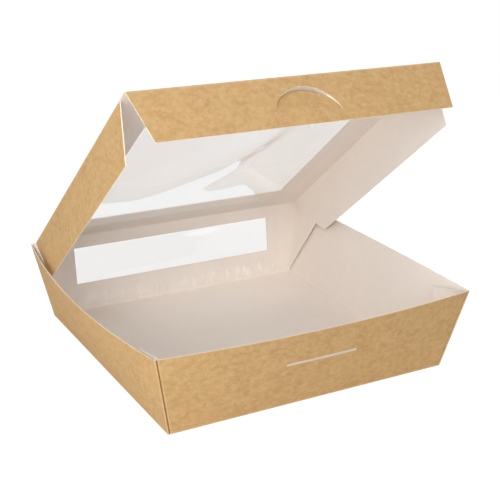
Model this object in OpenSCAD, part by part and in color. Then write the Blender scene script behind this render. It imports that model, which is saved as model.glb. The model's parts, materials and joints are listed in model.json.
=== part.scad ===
// Takeaway box of folded board: a flared tray with web corners, and a lid
// with a film window, hinged on the fold along the top of the back wall.
// Origin: middle of the underside of the base. +Z is up, the front is at -Y.

/* [Board and film] */
// Thickness of the board
board_t = 0.5; // [0.3:0.05:0.8]
// Thickness of the clear window film
film_t = 0.1; // [0.05:0.05:0.2]
// Clear gap between two layers of folded board
layer_gap = 0.12; // [0.08:0.02:0.3]

/* [Tray] */
// Width of the base from fold to fold
base_w = 180; // [140:1:230]
// Depth of the base from fold to fold
base_d = 175; // [140:1:230]
// Height of the rim at the four corners
wall_h = 49.5; // [40:0.5:75]
// How far each side wall leans out from base to rim
side_flare = 11; // [8:0.5:15]
// How far the front wall leans out from base to rim
front_flare = 8.5; // [7:0.5:12]
// How far the back wall leans out from base to rim
rear_flare = 7.5; // [5:0.5:11]
// How far the middle of the front rim bows out past its corners
front_bow = 4.7; // [2:0.1:4.7]
// How far the middle of the left rim bows out past its corners
left_bow = 7.5; // [7:0.5:10]
// How far the middle of the right rim bows out past its corners
right_bow = 2.5; // [2:0.5:8]
// How far the tip of each folded corner web lies below the rim
web_drop = 6.5; // [6:0.5:12]

/* [Slot] */
// Height of the slot in the front wall
slot_h = 1.6; // [1:0.1:3]
// How much longer the slot is than the thumb tongue is wide
slot_play = 4; // [2:0.5:8]
// How far the slot lies above the root of the tongue when the lid is shut
tongue_bite = 4; // [2:0.5:6]

/* [Windows] */
// Width of the lid's border on each side of its window
side_border = 25; // [14:0.5:45]
// Width of the lid's border behind and in front of its window
end_border = 27.5; // [16:0.5:50]
// Height of the back wall window, down the wall
rear_window_h = 24; // [10:0.5:26]
// Distance of the back wall window below the hinge fold
rear_window_drop = 8.3; // [5:0.1:10]
// How far the film strip reaches past the windows on each side
film_margin = 9.5; // [4:0.5:10]

/* [Lid] */
// Angle of the lid above level
lid_angle = 40; // [0:1:175]
// How far the lid's side folds lie inside the rim corners
side_gap = 3.5; // [3.5:0.1:6]
// Clear height between the shut lid and the rim corners
lid_clear = 0.35; // [0.3:0.05:1]
// Clear gap between the middle of the front rim and what passes it
front_clear = 0.35; // [0.3:0.05:1.5]

/* [Lid flaps] */
// Depth of the two side flaps
flap_d = 33; // [20:0.5:34]
// Lean of the left flap inward from square when the lid is shut
left_tuck = 12.5; // [12.5:0.5:20]
// Lean of the right flap inward from square when the lid is shut
right_tuck = 20; // [16:0.5:22]
// Turn of the side flaps outward for each degree that the lid opens
flap_follow = 0.5; // [0.45:0.01:0.5]
// Taper of a side flap at its front end
flap_front_taper = 6.8; // [6.8:0.2:20]
// Taper of a side flap at its rear end
flap_rear_taper = 26.5; // [26.5:0.5:40]
// Depth of the front flap
front_flap_d = 30.5; // [27:0.5:36]
// Taper of the front flap at each end
front_flap_taper = 6; // [3:0.5:12]
// Lean of the front flap outward from square to the lid
front_splay = 6; // [6:0.5:20]

/* [Thumb tongue] */
// Radius of the round cut that frees the thumb tongue
tongue_r = 21; // [18:0.5:30]
// Board left between the root of the tongue and the flap's free edge
tongue_margin = 6.2; // [4:0.1:9]
// Distance of the top of the tongue from the front fold
tongue_top = 7; // [5:0.5:10]
// How far the tip of the tongue is pushed in from the flap
tongue_push = 3; // [0.5:0.1:5]
// Width of the cut around the tongue
tongue_kerf = 0.2; // [0.1:0.05:0.4]

/* [Hidden] */
$fn = 32;

kraft = "#C79F6C";
clear_film = "#E8EBEC";

// A folded edge: the next panel starts this far from the fold's own line
fold_gap = board_t;
// Softness of the fold between base and walls
base_fold = 0.35;
// Bend of a wall into its corner web
bend_r = 0.6;
// Pitch of two layers lying on each other, and the bend that joins them
pitch = board_t + layer_gap;
turn_r = pitch / 2;
// Least flat length of a web, just above the base
web_stub = 0.4;
// Clear gap of a flap from what it hangs beside
flap_clear = 0.25;
// How far the fold's strip laps down into the back wall
strip_lap = 1.5;
// Film left bare beside the hinge fold, above the floor and at the lid's front
film_hinge_gap = 2;
film_floor_gap = 1.5;
film_front_gap = 12;
// Knee of a side flap's rear edge, as shares of its taper and of its depth
knee_share_along = 0.6;
knee_share_down = 0.7;
// Depth of the tool that cuts through a wall
cut_depth = 8;
// Angle at which the shutting lid's tongue passes the front rim
passing_angle = 2;
// Points along one half of a long wall, along a web, and round a bend
wall_steps = 8;
side_steps = 16;
web_steps = 3;
bend_steps = 3;
turn_steps = 4;

// The board keeps its length as it bows, so a bowed rim drops a little
side_slant = norm([side_flare, wall_h]);
front_slant = norm([front_flare, wall_h]);
rear_slant = norm([rear_flare, wall_h]);
rear_lean = atan(rear_flare / wall_h);
function rim_h(slant, flare, bow) = sqrt(slant * slant - pow(flare + bow, 2));

// The web of a corner folds along the line that halves its angle
function web_half(flare, slant) =
    (90 - atan(flare / side_slant) - atan(side_flare / slant)) / 2;
function web_reach(flare, slant) =
    (wall_h - web_drop) * side_slant / wall_h
    * tan(web_half(flare, slant) - atan(flare / side_slant));
tip_v = (wall_h - web_drop) / wall_h;

// Fold lines run through the middle of the board. The shut lid clears the
// rim, and its front fold passes the bowed rim with the tongue pushed in.
hinge_rise = board_t / 2 + lid_clear;
hinge_y = base_d / 2 + rear_flare - board_t / 2;
hinge_z = wall_h + hinge_rise;
rim_front = base_d / 2 + front_flare;
passing_lean = front_splay + passing_angle;
front_gap = front_clear + max(0, tongue_push - tongue_top * sin(passing_lean));
lid_w = base_w + 2 * side_flare - 2 * side_gap;
lid_d = hinge_y + rim_front + front_bow + front_gap + board_t / 2;
side_fold_x = lid_w / 2 - board_t / 2;

// A side flap's front edge starts just behind the corner of the front wall
flap_front_start = lid_d - hinge_y - rim_front + board_t + flap_clear;
left_splay = flap_follow * lid_angle - left_tuck;
right_splay = flap_follow * lid_angle - right_tuck;

window_w = lid_w - 2 * side_border;
window_d = lid_d - 2 * end_border;
film_w = window_w + 2 * film_margin;

// The tongue is a round segment above its root line
tongue_root = front_flap_d - tongue_margin;
tongue_centre = tongue_top + tongue_r - tongue_root;
tongue_w = 2 * sqrt(tongue_r * tongue_r - tongue_centre * tongue_centre);
slot_w = tongue_w + slot_play;
slot_drop = tongue_root - tongue_bite;

function mix(a, b, k) = a + (b - a) * k;
function arc(cx, cy, r, from, to, n) =
    [for (i = [0:n]) let (a = mix(from, to, i / n)) [cx + r * cos(a), cy + r * sin(a)]];

// Mid lines of the walls at level v, from 0 at the base to 1 at the rim
function side_x(v, inset) = base_w / 2 + side_flare * v - board_t / 2 - inset;
function front_y(v, inset) = -(base_d / 2 + front_flare * v - board_t / 2 - inset);
function rear_y(v, inset) = base_d / 2 + rear_flare * v - board_t / 2 - inset;

// How far the folded edge of a web lies from its end of the side wall
function web_len(v, flare, slant) =
    let (reach = web_reach(flare, slant),
         full = v <= tip_v ? reach * v / tip_v + flare * v
              : mix(reach + flare * tip_v, 0, (v - tip_v) / (1 - tip_v)))
    max(full, bend_r + 2 * turn_r + web_stub);

// Bow of a side wall at the share k of its length, 0 to 1
function bulge(k) = 4 * k * (1 - k);

// Plan of one half of the tray's board at level v, from the middle of the
// front wall round the right side to the middle of the back wall, as
// [x, y, rim height]: wall, web layer, web layer, wall, and back again
function half_plan(v, inset, bow) =
    let (xw = side_x(v, inset), yf = front_y(v, inset), yr = rear_y(v, inset),
         xb = xw - pitch, xa = xb - pitch,
         yf_end = yf + turn_r, yr_end = yr - turn_r,
         front_fold = yf + web_len(v, front_flare, front_slant),
         rear_fold = yr - web_len(v, rear_flare, rear_slant),
         flat_x = xa - bend_r,
         side_bulge = function(y) bow * v * bulge((y - yf_end) / (yr_end - yf_end)))
    concat(
        [for (i = [0:wall_steps - 1]) let (u = i / wall_steps, out = front_bow * (1 - u * u))
            [flat_x * u, yf - out * v, rim_h(front_slant, front_flare, out)]],
        [for (p = arc(flat_x, yf + bend_r, bend_r, -90, 0, bend_steps))
            [p[0], p[1], wall_h]],
        [for (i = [1:web_steps - 1]) let (k = i / web_steps)
            [xa, mix(yf + bend_r, front_fold - turn_r, k), wall_h]],
        [for (p = arc(xb - turn_r, front_fold - turn_r, turn_r, 180, 0, turn_steps))
            [p[0], p[1], wall_h]],
        [for (i = [1:web_steps - 1]) let (k = i / web_steps)
            [xb, mix(front_fold - turn_r, yf_end, k), wall_h]],
        [for (p = arc(xw - turn_r, yf_end, turn_r, 180, 360, turn_steps))
            [p[0], p[1], wall_h]],
        [for (i = [1:side_steps - 1]) let (k = i / side_steps, y = mix(yf_end, yr_end, k))
            [xw + side_bulge(y), y, rim_h(side_slant, side_flare, bow * bulge(k))]],
        [for (p = arc(xw - turn_r, yr_end, turn_r, 0, 180, turn_steps))
            [p[0], p[1], wall_h]],
        [for (i = [1:web_steps - 1]) let (k = i / web_steps,
                                          y = mix(yr_end, rear_fold + turn_r, k))
            [xb + side_bulge(y), y, wall_h]],
        [for (p = arc(xb - turn_r + side_bulge(rear_fold), rear_fold + turn_r,
                      turn_r, 0, -180, turn_steps))
            [p[0], p[1], wall_h]],
        [for (i = [1:web_steps - 1]) let (k = i / web_steps,
                                          y = mix(rear_fold + turn_r, yr - bend_r, k))
            [xa + side_bulge(y), y, wall_h]],
        [for (p = arc(flat_x, yr - bend_r, bend_r, 0, 90, bend_steps))
            [p[0], p[1], wall_h]],
        [[flat_x / 2, yr, wall_h], [0, yr, wall_h]]);

function mirrored(list) =
    [for (i = [len(list) - 2:-1:1]) [-list[i][0], list[i][1], list[i][2]]];

// The whole loop of board at one level, and the same loop moved outward
function plan(v, inset) = concat(half_plan(v, inset, right_bow),
                                 mirrored(half_plan(v, inset, left_bow)));
function heading(loop, i) =
    let (n = len(loop), a = loop[(i + n - 1) % n], b = loop[(i + 1) % n],
         d = [b[0] - a[0], b[1] - a[1]])
    d / norm(d);
function moved(loop, v, out) =
    [for (i = [0:len(loop) - 1]) let (d = heading(loop, i))
        [loop[i][0] + d[1] * out, loop[i][1] - d[0] * out, v * loop[i][2]]];

// Levels of the loop as [share of height, inset of the fold], from inside the
// base up to the rim
levels = concat([[board_t / 2 / wall_h, base_fold], [(board_t + base_fold) / wall_h, 0]],
                [for (k = [0.06, 0.2, 0.45, 0.7]) [k, 0]],
                [for (i = [0:2]) [mix(tip_v, 1, i / 2), 0]]);

// A closed skin over two stacks of loops, outside and inside
module shell_of_loops(outside, inside) {
    rows = len(outside);
    n = len(outside[0]);
    function out_at(r, i) = r * n + i % n;
    function in_at(r, i) = (rows + r) * n + i % n;
    skin = [for (r = [0:rows - 2], i = [0:n - 1]) each [
        [out_at(r, i), out_at(r + 1, i), out_at(r + 1, i + 1)],
        [out_at(r, i), out_at(r + 1, i + 1), out_at(r, i + 1)],
        [in_at(r, i), in_at(r + 1, i + 1), in_at(r + 1, i)],
        [in_at(r, i), in_at(r, i + 1), in_at(r + 1, i + 1)]]];
    rims = [for (i = [0:n - 1]) each [
        [out_at(0, i), out_at(0, i + 1), in_at(0, i + 1)],
        [out_at(0, i), in_at(0, i + 1), in_at(0, i)],
        [out_at(rows - 1, i), in_at(rows - 1, i + 1), out_at(rows - 1, i + 1)],
        [out_at(rows - 1, i), in_at(rows - 1, i), in_at(rows - 1, i + 1)]]];
    polyhedron(points = concat([for (loop = outside) each loop],
                               [for (loop = inside) each loop]),
               faces = concat(skin, rims));
}

// The walls and webs rise out of the base along its folds
module walls_and_webs() {
    loops = [for (l = levels) plan(l[0], l[1])];
    shell_of_loops(
        [for (i = [0:len(levels) - 1]) moved(loops[i], levels[i][0], board_t / 2)],
        [for (i = [0:len(levels) - 1]) moved(loops[i], levels[i][0], -board_t / 2)]);
}

// Places children on the back wall: z runs up its middle, 0 at the hinge fold
module on_rear_wall() {
    translate([0, hinge_y, hinge_z]) rotate([-rear_lean, 0, 0]) children();
}

module rear_window_hole() {
    on_rear_wall()
        translate([-window_w / 2, -cut_depth / 2, -rear_window_drop - rear_window_h])
            cube([window_w, cut_depth, rear_window_h]);
}

module slot_hole() {
    v = 1 - slot_drop / front_slant;
    rim = rim_h(front_slant, front_flare, front_bow);
    translate([0, front_y(v, 0) - front_bow * v, rim * v])
        rotate([atan((front_flare + front_bow) / rim), 0, 0])
            cube([slot_w, cut_depth, slot_h], center = true);
}

// The round fold that the lid turns on, with the strip of wall below it
module hinge_fold() {
    strip = hinge_rise + strip_lap;
    on_rear_wall() {
        rotate([0, 90, 0]) cylinder(d = board_t, h = lid_w, center = true);
        translate([-lid_w / 2, -board_t / 2, -strip]) cube([lid_w, board_t, strip]);
    }
}

module tray() {
    color(kraft) difference() {
        union() {
            translate([0, 0, board_t / 2]) cube([base_w, base_d, board_t], center = true);
            walls_and_webs();
            hinge_fold();
        }
        slot_hole();
        rear_window_hole();
    }
}

// The film on the inside of the back wall, from the hinge down to the floor
module rear_window_film() {
    bottom = rear_slant - film_floor_gap;
    color(clear_film) on_rear_wall()
        translate([-film_w / 2, -board_t / 2 - film_t, -bottom])
            cube([film_w, film_t, bottom - film_hinge_gap]);
}

// Places children on the lid: it lies level towards -Y from the hinge line,
// then opens by lid_angle
module on_lid() {
    translate([0, hinge_y, hinge_z]) rotate([-lid_angle, 0, 0]) children();
}

module lid() {
    color(kraft) on_lid() {
        difference() {
            translate([-side_fold_x, -lid_d, -board_t / 2])
                cube([2 * side_fold_x, lid_d - fold_gap, board_t]);
            translate([-window_w / 2, -lid_d + end_border, -board_t])
                cube([window_w, window_d, 2 * board_t]);
        }
        for (side = [-1, 1])
            translate([side * side_fold_x, -fold_gap, 0])
                rotate([90, 0, 0]) cylinder(d = board_t, h = lid_d - fold_gap);
        translate([0, -lid_d, 0]) rotate([0, 90, 0])
            cylinder(d = board_t, h = 2 * side_fold_x, center = true);
    }
}

module lid_window_film() {
    color(clear_film) on_lid()
        translate([-film_w / 2, -lid_d + film_front_gap, -board_t / 2 - film_t])
            cube([film_w, lid_d - film_front_gap - film_hinge_gap, film_t]);
}

// A side flap hanging square from its fold line along Y, thickness along X
module side_flap() {
    knee_y = knee_share_along * flap_rear_taper;
    knee_d = knee_share_down * flap_d;
    rotate([90, 0, 90]) translate([0, 0, -board_t / 2]) linear_extrude(board_t)
        polygon([[-fold_gap, -fold_gap], [-knee_y, -knee_d],
                 [-flap_rear_taper, -flap_d],
                 [-lid_d + flap_front_start + flap_front_taper, -flap_d],
                 [-lid_d + flap_front_start, -fold_gap]]);
}

module left_side_flap() {
    color(kraft) on_lid() translate([-side_fold_x, 0, 0])
        rotate([0, left_splay, 0]) side_flap();
}

module right_side_flap() {
    color(kraft) on_lid() translate([side_fold_x, 0, 0])
        rotate([0, -right_splay, 0]) side_flap();
}

// The D shape of the thumb tongue in the plane of the flap, root line at 0
module tongue_shape(r) {
    intersection() {
        translate([0, -tongue_centre]) circle(r = r, $fn = 96);
        translate([-r, 0]) square([2 * r, 2 * r]);
    }
}

// The tongue as rows across it, pushed in along a smooth bend from its root
module tongue() {
    rows = 14;
    root_lap = 0.3;
    r = tongue_r - tongue_kerf;
    height = r - tongue_centre;
    // Push at height q, rising slowly at the root, then along a straight line
    bend_h = 0.45 * height;
    slope = tongue_push / (height - bend_h / 2);
    function push(q) = q < bend_h ? slope * q * q / (2 * bend_h) : slope * (q - bend_h / 2);
    function lean(q) = slope * min(max(q, 0), bend_h) / bend_h;
    // Rows close up towards the tip, where the outline turns fastest
    qs = [for (i = [0:rows]) i == 0 ? -root_lap : height * sin(90 * i / rows) - 0.001];
    function half_w(q) = sqrt(r * r - pow(max(q, 0) + tongue_centre, 2));
    function corner(q, sx, sy) =
        let (y = push(max(q, 0)), k = lean(q), c = norm([1, k]))
        [sx * half_w(q), y + sy * board_t / 2 / c, q - sy * board_t / 2 * k / c];
    points = [for (q = qs) each [corner(q, -1, -1), corner(q, 1, -1),
                                 corner(q, 1, 1), corner(q, -1, 1)]];
    sides = [for (i = [0:rows - 1], j = [0:3]) let (a = 4 * i + j, b = 4 * i + (j + 1) % 4)
        each [[a, a + 4, b + 4], [a, b + 4, b]]];
    polyhedron(points = points,
               faces = concat(sides, [[0, 1, 2, 3], [for (j = [3:-1:0]) 4 * rows + j]]));
}

module front_flap() {
    top_half = side_fold_x - flap_clear;
    bottom_half = top_half - front_flap_taper;
    color(kraft) on_lid() translate([0, -lid_d, 0]) rotate([-front_splay, 0, 0]) {
        rotate([90, 0, 0]) translate([0, 0, -board_t / 2]) linear_extrude(board_t)
            difference() {
                polygon([[-top_half, -fold_gap], [-bottom_half, -front_flap_d],
                         [bottom_half, -front_flap_d], [top_half, -fold_gap]]);
                translate([0, -tongue_root]) tongue_shape(tongue_r);
            }
        translate([0, 0, -tongue_root]) tongue();
    }
}

tray();
rear_window_film();
lid();
lid_window_film();
left_side_flap();
right_side_flap();
front_flap();
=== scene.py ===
import json
import math

import bpy
import numpy as np
from mathutils import Matrix, Vector


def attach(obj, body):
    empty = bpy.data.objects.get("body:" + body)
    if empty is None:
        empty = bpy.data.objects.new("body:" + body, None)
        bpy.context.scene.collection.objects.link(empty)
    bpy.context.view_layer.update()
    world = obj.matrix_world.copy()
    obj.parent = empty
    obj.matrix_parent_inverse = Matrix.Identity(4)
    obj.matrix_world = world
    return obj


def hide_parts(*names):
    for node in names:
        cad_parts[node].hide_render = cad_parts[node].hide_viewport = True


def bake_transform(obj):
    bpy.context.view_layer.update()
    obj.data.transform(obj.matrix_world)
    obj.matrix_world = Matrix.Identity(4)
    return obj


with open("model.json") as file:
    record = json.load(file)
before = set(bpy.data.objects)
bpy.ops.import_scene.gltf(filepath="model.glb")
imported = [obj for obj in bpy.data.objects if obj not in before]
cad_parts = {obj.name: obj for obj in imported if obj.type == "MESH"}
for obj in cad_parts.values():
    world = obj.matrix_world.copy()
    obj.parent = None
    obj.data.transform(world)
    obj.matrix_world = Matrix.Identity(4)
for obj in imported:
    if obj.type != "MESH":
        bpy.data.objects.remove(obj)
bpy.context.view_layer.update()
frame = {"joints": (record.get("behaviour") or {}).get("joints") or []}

# Tray: base, four walls and four corner webs of the one die-cut sheet, 0.5 mm kraft board
# with a white lining inside. It is scored and folded up, and each web is folded double and
# laid against the inside of its side wall, so the card's cut edge shows all along the rim.
board_t = 0.5            # mm, as every size in this file
base_w, base_d, wall_h = 180.0, 175.0, 49.5
side_flare, front_flare, rear_flare = 11.0, 8.5, 7.5
front_bow, left_bow, right_bow = 4.7, 7.5, 2.5
side_slant = math.hypot(side_flare, wall_h)
front_slant = math.hypot(front_flare, wall_h)
rear_slant = math.hypot(rear_flare, wall_h)
rear_lean = math.atan2(rear_flare, wall_h)
layer_gap = 0.12         # clear gap between two layers of folded board
pitch = board_t + layer_gap
turn_r = pitch / 2       # bend of a web folded back on itself
corner_r = 0.6           # bend of a wall into its web
web_drop = 6.5           # tip of a web below the rim
web_open = 0.28          # the two layers of a web stand this much further apart
web_fold_r = (pitch + web_open) / 2
web_stub = 0.4
web_spring = 1.6, 1.8    # folded edges of the front and rear webs stand so far off the wall
tip_v = (wall_h - web_drop) / wall_h
slot_half_w, slot_h, slot_drop = 22.67, 1.6, 20.3
window_half_w, rear_window_h, rear_window_drop = 72.5, 24.0, 8.3
base_fold_r = 0.8        # outside of the fold between base and walls
base_fold_in = 0.41      # the centre of that fold lies this far inside the wall's mid line
floor_ring = 1.5         # flat band of base beside the fold
# Pale kraft at the webs' folds is partly a painted highlight of their rounded bends
rim_wear, web_wear_and_highlight = 0.5, 0.35     # how far the kraft face is rubbed pale there
lid_fold = next(j for j in frame["joints"] if j["name"] == "lid_fold")
hinge = np.array(lid_fold["pos_m"]) * 1000


def mix(a, b, k):
    return a + (b - a) * k


def bend(cx, cy, radius, start, end, steps):
    """Points [x, y] round a bend, from one angle to another in degrees."""
    turns = np.radians(np.linspace(start, end, steps + 1))
    return [[cx + radius * math.cos(t), cy + radius * math.sin(t)] for t in turns]


def rim_height(slant, flare, bow):
    """The board keeps its length as it bows, so a bowed rim drops a little."""
    return math.sqrt(slant * slant - (flare + bow) ** 2)


def web_length(v, flare, slant):
    """How far the folded edge of a web lies from its end of the side wall."""
    lean = math.atan2(flare, side_slant)
    half = (math.pi / 2 - lean - math.atan2(side_flare, slant)) / 2
    reach = (wall_h - web_drop) * side_slant / wall_h * math.tan(half - lean)
    full = (reach * v / tip_v + flare * v if v <= tip_v
            else mix(reach + flare * tip_v, 0, (v - tip_v) / (1 - tip_v)))
    return max(full, corner_r + 2 * web_fold_r + web_stub)


def half_plan(v, inset, bow):
    """One half of the folded loop at level v, from the middle of the front wall round to
    the middle of the back wall, as [x, y, rim height, wear and painted highlight of the fold]."""
    xw = base_w / 2 + side_flare * v - board_t / 2 - inset
    yf = -(base_d / 2 + front_flare * v - board_t / 2 - inset)
    yr = base_d / 2 + rear_flare * v - board_t / 2 - inset
    xb, xa = xw - pitch, xw - 2 * pitch - web_open
    yf_end, yr_end = yf + turn_r, yr - turn_r
    front_fold = yf + web_length(v, front_flare, front_slant)
    rear_fold = yr - web_length(v, rear_flare, rear_slant)
    flat_x = xa - corner_r
    web_shares = (0.1, 0.3, 0.5, 0.7, 0.9)         # where columns lie along a web's layer
    loop = []

    def bulge(y):
        k = (y - yf_end) / (yr_end - yf_end)
        return bow * 4 * k * (1 - k)

    def spring(y):
        """A web springs open a little about its corner, more towards its folded edge."""
        share = max((y - yf) / (front_fold - yf) if y < 0 else (yr - y) / (yr - rear_fold), 0)
        return -web_spring[int(y > 0)] * min(v / tip_v, 1) * min(share, 1)

    def lay(points, worn):
        loop.extend([x, y, wall_h, worn] for x, y in points)

    # Columns stand still in x where the slot is, and closer together towards the corner
    fixed = [0, 7.5, 15, slot_half_w, 30, 38, 46, 54, 62, 70, 77]
    for x in fixed + [mix(fixed[-1], flat_x, k) for k in (0.25, 0.5, 0.75, 0.93, 0.975)]:
        out = front_bow * (1 - (x / flat_x) ** 2)
        loop.append([x, yf - out * v, rim_height(front_slant, front_flare, out), 0])
    lay(bend(flat_x, yf + corner_r, corner_r, -90, 0, 6), web_wear_and_highlight)
    lay([[xa + spring(y), y] for y in
         (mix(yf + corner_r, front_fold - web_fold_r, k) for k in web_shares)], 0)
    lay(bend(xb - web_fold_r + spring(front_fold), front_fold - web_fold_r, web_fold_r,
             180, 0, 8), web_wear_and_highlight)
    lay([[xb + spring(y), y] for y in
         (mix(front_fold - web_fold_r, yf_end, k) for k in web_shares)], 0)
    lay(bend(xw - turn_r, yf_end, turn_r, 180, 360, 8), web_wear_and_highlight)
    wall_steps = 44                                # over the bowed side wall
    for k in [0.003, 0.012] + [i / wall_steps for i in range(1, wall_steps)] + [0.988, 0.997]:
        y = mix(yf_end, yr_end, k)
        loop.append([xw + bulge(y) * v, y,
                     rim_height(side_slant, side_flare, bulge(y)), 0])
    lay(bend(xw - turn_r, yr_end, turn_r, 0, 180, 8), web_wear_and_highlight)
    lay([[xb + bulge(y) * v + spring(y), y] for y in
         (mix(yr_end, rear_fold + web_fold_r, k) for k in web_shares)], 0)
    lay(bend(xb - web_fold_r + bulge(rear_fold) * v + spring(rear_fold),
             rear_fold + web_fold_r, web_fold_r, 0, -180, 8), web_wear_and_highlight)
    lay([[xa + bulge(y) * v + spring(y), y] for y in
         (mix(rear_fold + web_fold_r, yr - corner_r, k) for k in web_shares)], 0)
    lay(bend(flat_x, yr - corner_r, corner_r, 0, 90, 6), web_wear_and_highlight)
    lay([[mix(window_half_w, flat_x, k), yr] for k in (0.975, 0.93, 0.75, 0.5, 0.25)], 0)
    lay([[x, yr] for x in (window_half_w, 60, 45, 30, 15, 0)], 0)
    return loop


def folded_loop(v, inset, side, height=None):
    """The whole loop at one level, moved half a board to the outside (1) or inside (-1),
    and how worn each of its folds is, with a painted highlight on the web folds."""
    right, left = half_plan(v, inset, right_bow), half_plan(v, inset, left_bow)
    loop = np.array(right + [[-x, y, h, w] for x, y, h, w in left[-2:0:-1]])
    heading = np.roll(loop[:, :2], -1, 0) - np.roll(loop[:, :2], 1, 0)
    heading /= np.linalg.norm(heading, axis=1)[:, None]
    loop[:, 0] += heading[:, 1] * side * board_t / 2
    loop[:, 1] -= heading[:, 0] * side * board_t / 2
    z = loop[:, 2] * v if height is None else np.full(len(loop), height)
    return np.column_stack([loop[:, :2], z]), loop[:, 3]


CUT, BOARD, SEAM = 0, 1, 2
crisp_fold = 38          # degrees: a sharper turn between two faces shades as an edge


def board_piece(name, outside, inside, cells, wear, closed=False, base=False):
    """A sheet of board between two grids of points. Each cell is BOARD, or CUT away, which
    bares the card's edge, or a SEAM, where its two sides are one line. The first row of a
    loop with a base is closed by the base. Wear, with its painted fold highlight, goes to the
    mesh as "fold_wear_and_highlight"."""
    rows, columns = outside.shape[:2]
    across = cells.shape[1]
    points = np.concatenate([outside.reshape(-1, 3), inside.reshape(-1, 3)])
    faces, kinds = [], []

    def at(skin, r, c):
        return (skin * rows + r) * columns + c % columns

    def cell(r, c):
        if r < 0 and base:
            return SEAM
        c = c % across if closed else c
        return cells[r, c] if 0 <= r < rows - 1 and 0 <= c < across else CUT

    def face(kind, *corners):
        faces.append(corners)
        kinds.append(kind)

    for r in range(rows - 1):
        for c in range(across):
            if cells[r, c] != BOARD:
                continue
            o, i = ([at(s, r, c), at(s, r, c + 1), at(s, r + 1, c + 1), at(s, r + 1, c)]
                    for s in (0, 1))
            face(0, *o)
            face(1, *reversed(i))
            if cell(r + 1, c) == CUT:
                face(2, o[3], o[2], i[2], i[3])
            if cell(r - 1, c) == CUT:
                face(2, o[1], o[0], i[0], i[1])
            if cell(r, c + 1) == CUT:
                face(2, o[1], i[1], i[2], o[2])
            if cell(r, c - 1) == CUT:
                face(2, o[0], o[3], i[3], i[0])
    if base:
        face(0, *reversed(range(columns)))
        face(1, *(rows * columns + c for c in range(columns)))
    # Points in one place become one, and points of no face go
    wear = np.tile(np.asarray(wear, float).reshape(-1), 2)
    used = sorted({i for f in faces for i in f})
    _, first, merged = np.unique(np.round(points[used], 4), axis=0, return_index=True,
                                 return_inverse=True)
    new = dict(zip(used, np.ravel(merged)))
    kept = []
    for f, kind in zip(faces, kinds):
        ids = [int(new[i]) for i in f]
        ids = [a for a, b in zip(ids, ids[1:] + ids[:1]) if a != b]
        if len(ids) > 2:
            kept.append((ids, kind))
    used = np.array(used)[first]
    mesh = bpy.data.meshes.new(name)
    mesh.from_pydata(points[used] / 1000, [], [ids for ids, _ in kept])
    mesh.polygons.foreach_set("material_index", [kind for _, kind in kept])
    mesh.polygons.foreach_set("use_smooth", [True] * len(kept))
    worn = mesh.attributes.new("fold_wear_and_highlight", "FLOAT", "POINT")
    worn.data.foreach_set("value", wear[used].astype(np.float32))
    mesh.set_sharp_from_angle(angle=math.radians(crisp_fold))
    mesh.validate()
    piece = bpy.data.objects.new(name, mesh)
    bpy.context.scene.collection.objects.link(piece)
    return piece


# The sheet's three finishes: brown unbleached kraft paper outside, with clouds of pulp and
# pale fibres; a white lining inside, satin from its grease barrier; and the cut edge, where
# the cream core of the board shows. Kraft is matt; along its folds it is painted paler, partly as
# rubbed fibre and partly as a painted highlight.
def linear(colour):
    """An sRGB hex colour as linear red, green, blue, alpha."""
    parts = [int(colour[i:i + 2], 16) / 255 for i in (1, 3, 5)]
    return [p / 12.92 if p <= 0.04045 else ((p + 0.055) / 1.055) ** 2.4 for p in parts] + [1]


def add(tree, kind, inputs=None, **settings):
    """Adds a node with its settings, and links or sets its inputs. A hex colour turns linear."""
    made = tree.nodes.new("ShaderNode" + kind)
    for name, value in settings.items():
        setattr(made, name, value)
    for key, value in (inputs or {}).items():
        if isinstance(value, bpy.types.NodeSocket):
            tree.links.new(value, made.inputs[key])
        else:
            made.inputs[key].default_value = linear(value) if isinstance(value, str) else value
    return made


def new_material(name):
    made = bpy.data.materials.new(name)
    made.use_nodes = True
    made.node_tree.nodes.clear()
    return made, made.node_tree


# Each pattern: grain in mm, detail, roughness, the noise values where it starts and is full,
# its strength, and the colour that it brings. Its grain is 1.4 times as long level as upright
kraft, tree = new_material("unbleached_kraft_paper")
place = add(tree, "TexCoord").outputs["Object"]
drawn = add(tree, "Mapping", {"Vector": place, "Scale": (0.7, 0.7, 1.0)}).outputs["Vector"]
colour = "#B79060"
for grain, detail, rough, low, high, strength, tone in (
        (45, 1, 0.5, 0.3, 0.7, 0.5, "#BC9860"),            # uneven thickness of the sheet
        (9, 1, 0.5, 0.35, 0.65, 0.55, "#C6A06B"),          # pulp clouds, 5 to 9 mm
        (2.6, 3, 0.65, 0.36, 0.66, 0.8, "#CBA979"),        # tufts of fibre, 1 to 2.6 mm
        (1.1, 2, 0.6, 0.56, 0.74, 0.28, "#DDC193")):        # pale single fibres
    noise = add(tree, "TexNoise", {"Vector": drawn, "Scale": 1000 / grain, "Detail": detail,
                                   "Roughness": rough})
    share = add(tree, "MapRange", {"Value": noise.outputs["Fac"], "From Min": low,
                                   "From Max": high, "To Max": strength})
    colour = add(tree, "Mix", {0: share.outputs["Result"], 6: colour, 7: tone},
                 data_type="RGBA").outputs[2]
# Along its folds the kraft is mixed towards a pale tone: partly rubbed fibre, partly a painted
# highlight of the rounded fold
worn = add(tree, "Attribute", attribute_name="fold_wear_and_highlight").outputs["Fac"]
rubbed = add(tree, "Math", {0: worn, 1: 0.55}, operation="MULTIPLY").outputs[0]
colour = add(tree, "Mix", {0: rubbed, 6: colour, 7: "#E0BF90"}, data_type="RGBA").outputs[2]
# The tooth of the paper is finer than this; 0.7 mm is the finest that still shows
tooth = add(tree, "TexNoise", {"Vector": place, "Scale": 1000 / 0.7, "Detail": 3})
relief = add(tree, "Bump", {"Height": tooth.outputs["Fac"], "Strength": 0.35,
                            "Distance": 0.00012})
surface = add(tree, "BsdfPrincipled", {"Base Color": colour, "Roughness": 0.78, "IOR": 1.45,
                                       "Specular IOR Level": 0.35,
                                       "Normal": relief.outputs["Normal"]})
add(tree, "OutputMaterial", {"Surface": surface.outputs["BSDF"]})

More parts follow.
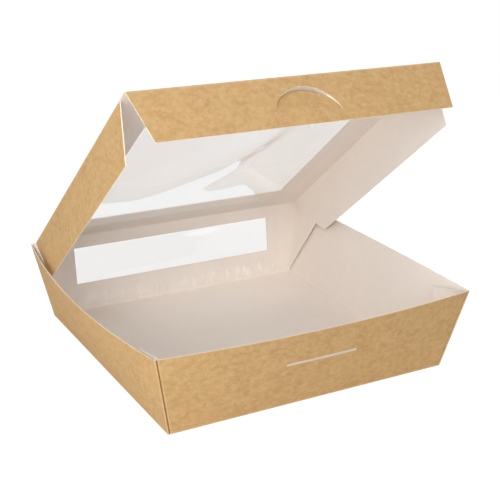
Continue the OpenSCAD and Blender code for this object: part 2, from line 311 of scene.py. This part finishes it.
lining, tree = new_material("white_barrier_lining")
place = add(tree, "TexCoord").outputs["Object"]
colour = "#ECE2D9"
for grain, detail, low, high, strength, tone in (
        (60, 2, 0.3, 0.7, 1.0, "#F0E6DD"),                 # uneven lining over the pulp
        (6, 3, 0.3, 0.7, 0.25, "#E6DBD1")):                # clouds of pulp showing through
    noise = add(tree, "TexNoise", {"Vector": place, "Scale": 1000 / grain, "Detail": detail})
    share = add(tree, "MapRange", {"Value": noise.outputs["Fac"], "From Min": low,
                                   "From Max": high, "To Max": strength})
    colour = add(tree, "Mix", {0: share.outputs["Result"], 6: colour, 7: tone},
                 data_type="RGBA").outputs[2]
# The barrier coat levels the paper's tooth, and leaves soft waves of 2.2 mm
tooth = add(tree, "TexNoise", {"Vector": place, "Scale": 1000 / 2.2, "Detail": 2})
relief = add(tree, "Bump", {"Height": tooth.outputs["Fac"], "Strength": 0.2,
                            "Distance": 0.00016})
surface = add(tree, "BsdfPrincipled", {"Base Color": colour, "Roughness": 0.5, "IOR": 1.5,
                                       "Specular IOR Level": 0.4,
                                       "Normal": relief.outputs["Normal"]})
add(tree, "OutputMaterial", {"Surface": surface.outputs["BSDF"]})

edge, tree = new_material("die_cut_board_edge")
place = add(tree, "TexCoord").outputs["Object"]
# Torn fibre ends show pale in the cream core, in patches of 1.4 mm along the cut
plies = add(tree, "TexNoise", {"Vector": place, "Scale": 1000 / 1.4, "Detail": 3})
share = add(tree, "MapRange", {"Value": plies.outputs["Fac"], "From Min": 0.3, "From Max": 0.7})
colour = add(tree, "Mix", {0: share.outputs["Result"], 6: "#EFDABA", 7: "#FBF0DE"},
             data_type="RGBA").outputs[2]
surface = add(tree, "BsdfPrincipled", {"Base Color": colour, "Roughness": 0.85, "IOR": 1.45,
                                       "Specular IOR Level": 0.3})
add(tree, "OutputMaterial", {"Surface": surface.outputs["BSDF"]})


def finish_board(piece):
    for material in (kraft, lining, edge):
        piece.data.materials.append(material)


slot_v = [1 - (slot_drop + s * slot_h / 2) / front_slant for s in (1, -1)]
window_v = [(hinge[2] - (rear_window_drop + d) * math.cos(rear_lean)) / wall_h
            for d in (rear_window_h, 0)]
base_turns = np.radians([-90, -74, -58, -42, -26, -10])    # round the fold, base to wall
# Rows up the wall, as shares of its height: closer together near the web's tip and the rim
levels = sorted([0.03, 0.1, 0.2, 0.29, 0.45, 0.52, 0.7, 0.78, 0.91, 0.955, 0.985, 1.0, tip_v]
                + slot_v + window_v)
skins = []
for side, radius in ((1, base_fold_r), (-1, base_fold_r - board_t)):
    bends = [(base_fold_in + side * board_t / 2 - radius * math.cos(t),
              base_fold_r + radius * math.sin(t)) for t in base_turns]
    rings = [folded_loop(0, bends[0][0] + floor_ring, side, bends[0][1])]
    rings += [folded_loop(0, inset, side, z) for inset, z in bends]
    rings += [folded_loop(v, 0, side) for v in levels]
    skins.append(np.array([points for points, _ in rings]))
    wear = np.array([w for _, w in rings])
wear[0], wear[1:1 + len(base_turns)] = 0, 1        # the fold round the base is rubbed most
wear[-1] = np.maximum(wear[-1], rim_wear)
row_v = [0] * (1 + len(base_turns)) + levels
cells = np.full((len(row_v) - 1, wear.shape[1]), BOARD)
for r in range(len(row_v) - 1):
    v = (row_v[r] + row_v[r + 1]) / 2
    middle = (skins[0][r] + np.roll(skins[0][r], -1, 0)) / 2
    for (low, high), half_w, wall in ((slot_v, slot_half_w, -1), (window_v, window_half_w, 1)):
        if low < v < high:
            on_wall = middle[:, 1] * wall > 0.9 * base_d / 2
            cells[r][on_wall & (abs(middle[:, 0]) < half_w)] = CUT
tray_board = board_piece("tray_board", *skins, cells, wear, closed=True, base=True)
finish_board(tray_board)
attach(tray_board, "tray")
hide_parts("tray")

# Lid: the panel behind the tray's back wall, one piece of board with its window die-cut
# out. It stands open on the creased fold along the top of the back wall, and that crease
# is a piece of its own here, between the tray and the lid.
lid_angle = math.radians(-lid_fold["range_deg"][0])
lid_half_w, lid_d = 97.25, 198.076     # between the fold lines
window_near, window_far = 27.5, 170.576
crease = 0.6                           # a crease reaches this far from its fold line
flap_front_start = 8.076               # the side flaps start this far behind the front fold
lid_cut_x = lid_half_w + board_t / 2   # where no flap hangs, the lid is cut off square
crease_rest = 1.4                      # the rubbed stripe beside a fold ends here
crease_wear = 0.6


def on_lid(points):
    """Points of the lid, level towards -Y from the hinge, in their place on the open lid."""
    points = np.asarray(points, float)
    y, z = points[..., 1], points[..., 2]
    c, s = math.cos(lid_angle), math.sin(lid_angle)
    return np.stack([points[..., 0], y * c + z * s, -y * s + z * c], -1) + [0, *hinge[1:]]


def grid(rows, columns, height):
    """A level grid of the lid's points at that height, rows away from the hinge."""
    return on_lid([[[x, -s, height] for x in columns] for s in rows])


rows = [crease, crease_rest, 6, 14, 21, window_near]
rows += list(np.linspace(window_near, window_far, 25))[1:]
rows += [176, 182, lid_d - flap_front_start, 193, 196, lid_d - crease_rest, lid_d - crease]
half = [0, 12, 24, 36, 48, 60, window_half_w, 79, 86, 92, lid_half_w - crease_rest,
        lid_half_w - crease, lid_cut_x]
columns = [-x for x in half[:0:-1]] + half
cells = np.full((len(rows) - 1, len(columns) - 1), BOARD)
for r in range(len(rows) - 1):
    if window_near <= rows[r] < window_far:
        cells[r, [c for c in range(len(columns) - 1)
                  if abs(columns[c] + columns[c + 1]) / 2 < window_half_w]] = CUT
    if rows[r] < lid_d - flap_front_start:
        cells[r, [0, -1]] = CUT
wear = np.zeros((len(rows), len(columns)))
wear[[0, -1]] = crease_wear
wear[:, [1, -2]] = crease_wear
lid_board = board_piece("lid_board", grid(rows, columns, board_t / 2),
                        grid(rows, columns, -board_t / 2), cells, wear)
finish_board(lid_board)
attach(lid_board, "lid")
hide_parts("lid")


def crease_piece(name, corner, along, lengths, to_a, to_b):
    """The creased strip across a fold: it leaves both panels along their own planes, and
    rounds the fold's corner between them. Corner, along and the ways to both panels are
    in the row frame, in mm."""
    to_a, to_b, along = (np.asarray(v, float) / np.linalg.norm(v) for v in (to_a, to_b, along))
    inner = to_a + to_b
    inner /= np.linalg.norm(inner)
    half_turn = math.pi / 2 - math.acos(np.clip(to_a @ to_b, -1, 1)) / 2
    radius = crease / math.tan(half_turn)
    centre = np.asarray(corner) + inner * radius / math.cos(half_turn)
    side = to_a - (to_a @ inner) * inner
    side /= np.linalg.norm(side)
    turns = np.linspace(half_turn, -half_turn, 9)
    ways = [math.sin(t) * side - math.cos(t) * inner for t in turns]
    # Seen from outside, the columns run so that the outside faces out
    if np.cross(along, ways[1] - ways[0]) @ -inner < 0:
        lengths = lengths[::-1]
    outside, inside = (np.array([[centre + way * (radius + d * board_t / 2) + along * length
                                  for length in lengths] for way in ways]) for d in (1, -1))
    cells = np.full((len(turns) - 1, len(lengths) - 1), BOARD)
    strip = board_piece(name, outside, inside, cells, np.ones(outside.shape[:2]))
    finish_board(strip)
    way = to_b - to_a
    way /= np.linalg.norm(way)
    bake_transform(strip)
    return strip


lid_out = on_lid([0, 0, 1]) - on_lid([0, 0, 0])
lid_way = on_lid([0, -1, 0]) - on_lid([0, 0, 0])
wall_down = np.array([0, -math.sin(rear_lean), -math.cos(rear_lean)])
crease_piece("lid_crease", hinge, [1, 0, 0], np.linspace(-lid_half_w, lid_half_w, 9),
             wall_down, lid_way)

# Side flaps: two flaps of the same sheet, creased down from the lid's sides. They tuck
# inside the side walls when the lid shuts, so their rear ends are cut back in a bent line.
flap_d, flap_front_taper = 33.0, 6.8
flap_rear_line = ((0.5, 0.5), (15.9, 23.1), (26.5, 33.0))    # along the fold, down the flap
knee_r = 18.0
left_splay, right_splay = math.radians(7.5), 0.0


def rounded(line, radius, steps=8):
    """A bent line with its inner corners rounded."""
    line = [np.array(p, float) for p in line]
    made = [line[0]]
    for a, b, c in zip(line, line[1:], line[2:]):
        to_a, to_c = ((p - b) / np.linalg.norm(p - b) for p in (a, c))
        half = math.acos(np.clip(to_a @ to_c, -1, 1)) / 2
        reach = min(radius / math.tan(half), 0.45 * min(np.linalg.norm(a - b),
                                                       np.linalg.norm(c - b)))
        p, q = b + to_a * reach, b + to_c * reach
        made += [(1 - k) ** 2 * p + 2 * k * (1 - k) * b + k * k * q
                 for k in np.linspace(0, 1, steps + 1)]
    return np.array(made + [line[-1]])


flap_front = lid_d - flap_front_start
front_line = ((flap_front, 0.5), (flap_front - flap_front_taper, flap_d))
rear = rounded(flap_rear_line, knee_r)
rows = sorted({crease, crease_rest, 5, 10, 14, *np.round(rear[1:-1, 1], 3), 30, 32, flap_d})
shares = np.linspace(0, 1, 33)
for name, side, splay in (("left", -1, left_splay), ("right", 1, right_splay)):
    down = np.array([side * math.sin(splay), 0, -math.cos(splay)])
    out = np.array([side * math.cos(splay), 0, math.sin(splay)])
    skins = []
    for d in (1, -1):
        skin = []
        for row in rows:
            near = np.interp(row, rear[:, 1], rear[:, 0])
            far = np.interp(row, (front_line[0][1], front_line[1][1]),
                            (front_line[0][0], front_line[1][0]))
            skin.append([np.array([side * lid_half_w, -mix(near, far, k), 0]) + down * row
                         + out * d * board_t / 2 for k in shares[::side]])
        skins.append(on_lid(skin))
    cells = np.full((len(rows) - 1, len(shares) - 1), BOARD)
    wear = np.zeros((len(rows), len(shares)))
    wear[0] = crease_wear
    flap = board_piece(name + "_flap_board", *(s[::-1] for s in skins), cells, wear[::-1])
    finish_board(flap)
    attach(flap, name + "_side_flap")
    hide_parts(name + "_side_flap")
    corner = on_lid([side * lid_half_w, 0, 0])
    crease_piece(name + "_crease", corner, lid_way,
                 np.linspace(crease, flap_front, 17), [-side, 0, 0],
                 on_lid(down) - on_lid([0, 0, 0]))

# Front flap: creased down from the lid's front edge. A half-round cut frees the thumb
# tongue, which bends in from its root with no crease, and locks in the front wall's slot.
front_flap_d, front_splay = 30.5, math.radians(6)
flap_top_half, flap_end_half = 97.0, 91.0
tongue_r, tongue_top, tongue_root = 21.0, 7.0, 24.3
tongue_kerf, tongue_push = 0.2, 3.0
round_centre = tongue_top + tongue_r
# The cut turns back at both ends, so that pulling the tongue doesn't tear the flap
cut_turns = np.radians([0, 5, 10, 16, 22, 29, 36, 43, 50, 57, 64, 70, 74.5])
cut = [(round_centre - tongue_r * math.cos(t), tongue_r * math.sin(t)) for t in cut_turns]
cut += [(23.2, 20.42), (23.75, 20.25), (24.1, 19.95), (tongue_root, 19.5)]
before = [crease, crease_rest, 3, 5]                         # rows above and below the cut
below = [25, 26, 27.2, 28.4, 29.5, 30.1, front_flap_d]
rows = before + [d for d, _ in cut] + below
first_cut, root_row = len(before), len(before) + len(cut) - 1
outer_shares, tongue_shares = np.linspace(0, 1, 15), np.linspace(-1, 1, 17)
tongue_height = tongue_root - tongue_top - tongue_kerf
bend_h = 0.45 * tongue_height          # the tongue bends over its lower part, then runs straight
slope = tongue_push / (tongue_height - bend_h / 2)
skins = ([], [])
for r, d in enumerate(rows):
    half_w = np.interp(d, (0.5, front_flap_d), (flap_top_half, flap_end_half))
    gap = 0 if r <= first_cut else cut[min(r - first_cut, len(cut) - 1)][1]
    flat = [(-mix(half_w, gap, k), d, 0, 0) for k in outer_shares]
    if first_cut <= r < root_row:
        # The tongue's own outline lies a kerf inside the cut, and rises from its root
        level = d if r > first_cut else d + tongue_kerf
        narrow = max(0, gap - tongue_kerf)
        above = max(0, tongue_root - level)
        lean = slope * min(above, bend_h) / bend_h
        push = (slope * above ** 2 / (2 * bend_h) if above < bend_h
                else slope * (above - bend_h / 2))
        middle = [(k * narrow, level, push, lean) for k in tongue_shares]
    else:
        middle = [(k * gap, d, 0, 0) for k in tongue_shares]
    line = flat + middle + [(-x, y, p, q) for x, y, p, q in flat[::-1]]
    for skin, side in zip(skins, (1, -1)):
        row = []
        for x, level, push, lean in line:
            c = math.hypot(1, lean)
            out = side * board_t / 2 / c - push
            level = level + side * board_t / 2 * lean / c
            y = -math.sin(front_splay) * level - math.cos(front_splay) * out
            z = -math.cos(front_splay) * level + math.sin(front_splay) * out
            row.append([x, y - lid_d, z])
        skin.append(row)
cells = np.full((len(rows) - 1, len(line) - 1), BOARD)
left_kerf, right_kerf = len(outer_shares) - 1, len(outer_shares) + len(tongue_shares) - 1
cells[:, [left_kerf, right_kerf]] = SEAM
cells[:first_cut, left_kerf:right_kerf + 1] = SEAM
cells[first_cut:root_row, [left_kerf, right_kerf]] = CUT
wear = np.zeros((len(rows), len(line)))
wear[0] = crease_wear
front_flap_board = board_piece("front_flap_board", *(on_lid(s)[::-1] for s in skins),
                               cells[::-1], wear[::-1])
finish_board(front_flap_board)
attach(front_flap_board, "front_flap")
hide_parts("front_flap")
front_down = on_lid([0, -math.sin(front_splay), -math.cos(front_splay)]) - on_lid([0, 0, 0])
crease_piece("front_crease", on_lid([0, -lid_d, 0]), [1, 0, 0],
             np.linspace(-flap_top_half, flap_top_half, 9), -lid_way, front_down)

# Window film: one strip of clear film, glued to the inside of the board behind both
# windows. It runs from near the lid's front fold over the hinge and down the back wall,
# hangs in slack ripples across the windows, and is wrinkled where it is glued by the floor.
film_t, film_half_w = 0.1, 82.0
film_front_gap, film_floor_gap = 12.0, 1.5
film_lift = 0.03                       # clear gap between board and film
film_bend_r = 4.0
film_off = board_t / 2 + film_lift + film_t / 2
glue_near, glue_far = 39.0, 47.5       # wrinkled band, down the back wall from the hinge
film_fold_h = 2.9                      # sag of the one broad fold, as the photo mirrors it
film_step, film_columns = 2.0, 129     # rows each 2 mm along the lid, columns 1.3 mm apart

wall_in = np.array([0, -math.cos(rear_lean), math.sin(rear_lean)])
film_turn = math.acos(wall_down @ lid_way)
corner_reach = (film_bend_r + film_off) / math.tan(film_turn / 2)
inward = wall_down + lid_way
inward /= np.linalg.norm(inward)
bend_centre = hinge + inward * (film_bend_r + film_off) / math.sin(film_turn / 2)
path = []                              # point, way off the board, place: mm along the lid or wall
wall_end = rear_slant - film_floor_gap
for q in np.concatenate([np.arange(wall_end, corner_reach + 0.6, -1.2), [corner_reach]]):
    path.append((hinge + wall_down * q + wall_in * film_off, wall_in, -q))
half = (math.pi - film_turn) / 2
across = wall_down - (wall_down @ inward) * inward
across /= np.linalg.norm(across)
for t in np.linspace(half, -half, 8)[1:-1]:
    way = math.sin(t) * across - math.cos(t) * inward
    path.append((bend_centre + way * film_bend_r, -way, 0))
lid_end = lid_d - film_front_gap
for q in np.concatenate([[corner_reach], np.arange(corner_reach + film_step, lid_end, film_step),
                         [lid_end]]):
    path.append((hinge + lid_way * q - lid_out * film_off, -lid_out, q))


def ease(a, b, x):
    """0 where x is a, 1 where it is b, and a smooth step between."""
    t = min(1.0, max(0.0, (x - a) / (b - a)))
    return t * t * (3 - 2 * t)


def over_window(x, q):
    """1 where the film hangs free in a window and 0 where it is glued to board."""
    free = ease(window_half_w + 1, window_half_w - 1, abs(x))
    near, far = ((window_near, window_far) if q > 0
                 else (rear_window_drop, rear_window_drop + rear_window_h))
    return free * ease(near - 1, near + 1, abs(q)) * ease(far + 1, far - 1, abs(q))


def ripple(x, q):
    """How far the film stands off its flat line at x, q mm along the lid (+) or wall (-)."""
    over = ease(window_half_w + 1, window_half_w - 14, abs(x))
    if q > 0:
        over *= ease(window_near, window_near + 16, q) * ease(window_far, window_far - 16, q)
        # Slack waves 53 to 180 mm long, in three directions, 0.1 to 0.2 mm high
        wave = (0.15 * math.sin((x - 0.75 * q) / 15 + 0.8 * math.sin(q / 37))
                + 0.1 * math.sin((x - 0.35 * q) / 8.5 + 1.1)
                + 0.2 * math.sin(q / 29 + x / 60))
        # The broad fold slants from near the hinge to the front: 10 mm wide on its steep
        # side and 24 on the other, from 50 to 170 mm along the lid
        beside = x - 0.3 * (q - 70)
        fold = math.exp(-(beside / (10 if beside > 0 else 24)) ** 2)
        wave += film_fold_h * fold * ease(50, 125, q) * ease(170, 110, q)
        return over * wave
    down = -q
    over *= (ease(rear_window_drop, rear_window_drop + 6, down)
             * ease(rear_window_drop + rear_window_h, rear_window_drop + rear_window_h - 6, down))
    # Behind the rear window the film is tighter; in the glued band it lies in fine pleats
    wave = math.sin(x / 23 + down / 15) + 0.5 * math.sin(x / 11 - 0.7)
    glued = ease(glue_near, glue_near + 2, down) * ease(glue_far, glue_far - 2, down)
    wrinkle = math.sin(x / 2.9 + 2.2 * math.sin(x / 13)) * math.sin(x / 7.3 + down / 2.1)
    return 0.3 * over * wave + 0.03 * glued * max(0, wrinkle)


xs = np.linspace(-film_half_w, film_half_w, film_columns)
skins = [np.array([[p + off * (ripple(x, q) - s * film_t / 2) + [x, 0, 0] for x in xs]
                   for p, off, q in path]) for s in (1, -1)]
cells = np.full((len(path) - 1, len(xs) - 1), BOARD)
# The film carries, in place of wear, where it hangs free
hangs_free = np.array([[over_window(x, q) for x in xs] for _, _, q in path])
window_film = board_piece("window_film", *skins, cells, hangs_free)

# Clear polyester film, stretched and glossy: it lets most light through, and mirrors more of
# it the flatter one looks along it. Its two faces mirror together, 2 R / (1 + R), so the face
# that is left behind adds nothing more. It casts no shadow, and is left out of reflections
film, tree = new_material("clear_polyester_film")
facing = add(tree, "Fresnel", {"IOR": 1.65}).outputs["Fac"]
mirrored = add(tree, "Math", {0: facing, 1: 2.0}, operation="MULTIPLY").outputs[0]
whole = add(tree, "Math", {0: facing, 1: 1.0}, operation="ADD").outputs[0]
mirrored = add(tree, "Math", {0: mirrored, 1: whole}, operation="DIVIDE").outputs[0]
behind = add(tree, "NewGeometry").outputs["Backfacing"]
free = add(tree, "Attribute", attribute_name="fold_wear_and_highlight").outputs["Fac"]
toned = add(tree, "Mix", {0: free, 6: "#FFFFFF", 7: "#FAFAFA"}, data_type="RGBA").outputs[2]
# Matched to the photo: glued down it mirrors little, and free a third more than one flat sheet
free = add(tree, "MapRange", {"Value": free, "To Min": 0.3, "To Max": 1.35}).outputs["Result"]
rays = add(tree, "LightPath").outputs
unseen = behind
for name in ("Is Shadow Ray", "Is Diffuse Ray", "Is Glossy Ray"):
    unseen = add(tree, "Math", {0: unseen, 1: rays[name]}, operation="MAXIMUM").outputs[0]
seen = add(tree, "Math", {0: 1.0, 1: unseen}, operation="SUBTRACT").outputs[0]
mirrored = add(tree, "Math", {0: mirrored, 1: free}, operation="MULTIPLY").outputs[0]
mirrored = add(tree, "Math", {0: mirrored, 1: 0.8}, operation="MINIMUM").outputs[0]
mirrored = add(tree, "Math", {0: mirrored, 1: seen}, operation="MULTIPLY").outputs[0]
haze_and_pleat_glints = add(tree, "Math", {0: free, 1: 0.01}, operation="MULTIPLY").outputs[0]
# Pleats 3 mm wide in the glued band, from 1.5 to 11.5 mm off the floor, get a painted highlight
# as pale haze
place = add(tree, "TexCoord").outputs["Object"]
creased = add(tree, "Mapping", {"Vector": place, "Scale": (300, 50, 50)}).outputs["Vector"]
painted_pleat_glints = add(tree, "TexNoise", {"Vector": creased, "Scale": 1.0, "Detail": 0}).outputs["Fac"]
painted_pleat_glints = add(tree, "MapRange", {"Value": painted_pleat_glints, "From Min": 0.44, "From Max": 0.7,
                               "To Max": 0.22}).outputs["Result"]
height = add(tree, "SeparateXYZ", {0: place}).outputs["Z"]
for low, high in ((0.0015, 0.003), (0.0115, 0.009)):
    band = add(tree, "MapRange", {"Value": height, "From Min": low, "From Max": high})
    painted_pleat_glints = add(tree, "Math", {0: painted_pleat_glints, 1: band.outputs["Result"]},
                operation="MULTIPLY").outputs[0]
# The film's own faint haze, plus the painted highlight of the pleats
haze_and_pleat_glints = add(tree, "Math", {0: haze_and_pleat_glints, 1: painted_pleat_glints}, operation="ADD").outputs[0]
haze_and_pleat_glints = add(tree, "Math", {0: haze_and_pleat_glints, 1: seen}, operation="MULTIPLY").outputs[0]
clear = add(tree, "BsdfTransparent", {"Color": toned})
gloss = add(tree, "BsdfGlossy", {"Color": "#FFFFFF", "Roughness": 0.02})
sheet = add(tree, "MixShader", {0: mirrored, 1: clear.outputs[0], 2: gloss.outputs[0]})
haze = add(tree, "BsdfDiffuse", {"Color": "#FFFBF7"})
sheet = add(tree, "MixShader", {0: haze_and_pleat_glints, 1: sheet.outputs[0], 2: haze.outputs[0]})
add(tree, "OutputMaterial", {"Surface": sheet.outputs[0]})
window_film.data.materials.clear()
for _ in range(3):
    window_film.data.materials.append(film)
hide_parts("rear_window_film", "lid_window_film")
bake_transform(window_film)

# Studio: a plain pale floor and background that show white, a soft lamp low at the front
# left, two large ones in front and above, one behind for the rear views, and an even room.
floor_half, floor_drop = 6.0, 0.0002   # m; the floor lies just clear of the base


def seen_directly(tree):
    """1 where the camera, a reflection or a look through clear film meets the surface."""
    rays = add(tree, "LightPath").outputs
    share = rays["Is Camera Ray"]
    for name in ("Is Glossy Ray", "Is Transmission Ray"):
        share = add(tree, "Math", {0: share, 1: rays[name]}, operation="MAXIMUM").outputs[0]
    return share


floor_mesh = bpy.data.meshes.new("studio_floor")
floor_mesh.from_pydata([(x * floor_half, y * floor_half, -floor_drop)
                        for x, y in ((-1, -1), (1, -1), (1, 1), (-1, 1))], [], [(0, 1, 2, 3)])
floor = bpy.data.objects.new("studio_floor", floor_mesh)
bpy.context.scene.collection.objects.link(floor)
painted, tree = new_material("white_painted_floor")
# Four fifths of what is seen of the floor is plain white, and the rest keeps the shadow
share = add(tree, "Math", {0: seen_directly(tree), 1: 0.8}, operation="MULTIPLY").outputs[0]
matt = add(tree, "BsdfDiffuse", {"Color": "#DEDDDB"})
lit = add(tree, "Emission", {"Color": "#FFFFFF", "Strength": 1.18})
both = add(tree, "MixShader", {0: share, 1: matt.outputs[0], 2: lit.outputs[0]})
add(tree, "OutputMaterial", {"Surface": both.outputs[0]})
floor_mesh.materials.append(painted)

world = bpy.data.worlds.new("studio_room")
bpy.context.scene.world = world
world.use_nodes = True
tree = world.node_tree
tree.nodes.clear()
room = add(tree, "Background", {"Color": "#FFFFFF", "Strength": 0.3})
white = add(tree, "Background", {"Color": "#FFFFFF", "Strength": 1.0})
shown = add(tree, "MixShader", {0: seen_directly(tree), 1: room.outputs[0],
                                2: white.outputs[0]})
add(tree, "OutputWorld", {"Surface": shown.outputs[0]})

# Each lamp: name, power in W, width and place in m; all face the box
for name, watts, size, place in (("side_light", 4.4, 0.6, (-0.6, -0.42, 0.2)),
                                 ("front_light", 8.8, 1.2, (0.0, -1.77, 1.02)),
                                 ("high_light", 13.0, 1.2, (-0.55, -0.76, 1.85)),
                                 ("back_light", 3.5, 1.2, (0.35, 1.6, 1.1))):
    lamp = bpy.data.lights.new(name, "AREA")
    lamp.energy, lamp.size = watts, size
    light = bpy.data.objects.new(name, lamp)
    light.location = place
    light.rotation_euler = (-Vector(place)).to_track_quat("-Z", "Y").to_euler()
    bpy.context.scene.collection.objects.link(light)

# Camera: solved from the straight folds in the photograph, with no shift. Its place is in m,
# and to_right, to_down and ahead are its own axes in the box's frame.
camera_data = bpy.data.cameras.new("camera")
camera_data.sensor_fit, camera_data.sensor_width = "HORIZONTAL", 36
camera_data.lens = 78.35
camera = bpy.data.objects.new("camera", camera_data)
to_right, to_down = Vector((0.87297, -0.48748, 0.01663)), Vector((-0.15521, -0.30995, -0.938))
ahead = Vector((0.46241, 0.81627, -0.34624))
camera.matrix_world = Matrix.Translation((-0.30167, -0.54503, 0.29039)) @ Matrix(
    [[to_right[i], -to_down[i], -ahead[i]] for i in range(3)]).to_4x4()
bpy.context.scene.collection.objects.link(camera)
bpy.context.scene.camera = camera
bpy.context.scene.view_settings.view_transform = "Standard"
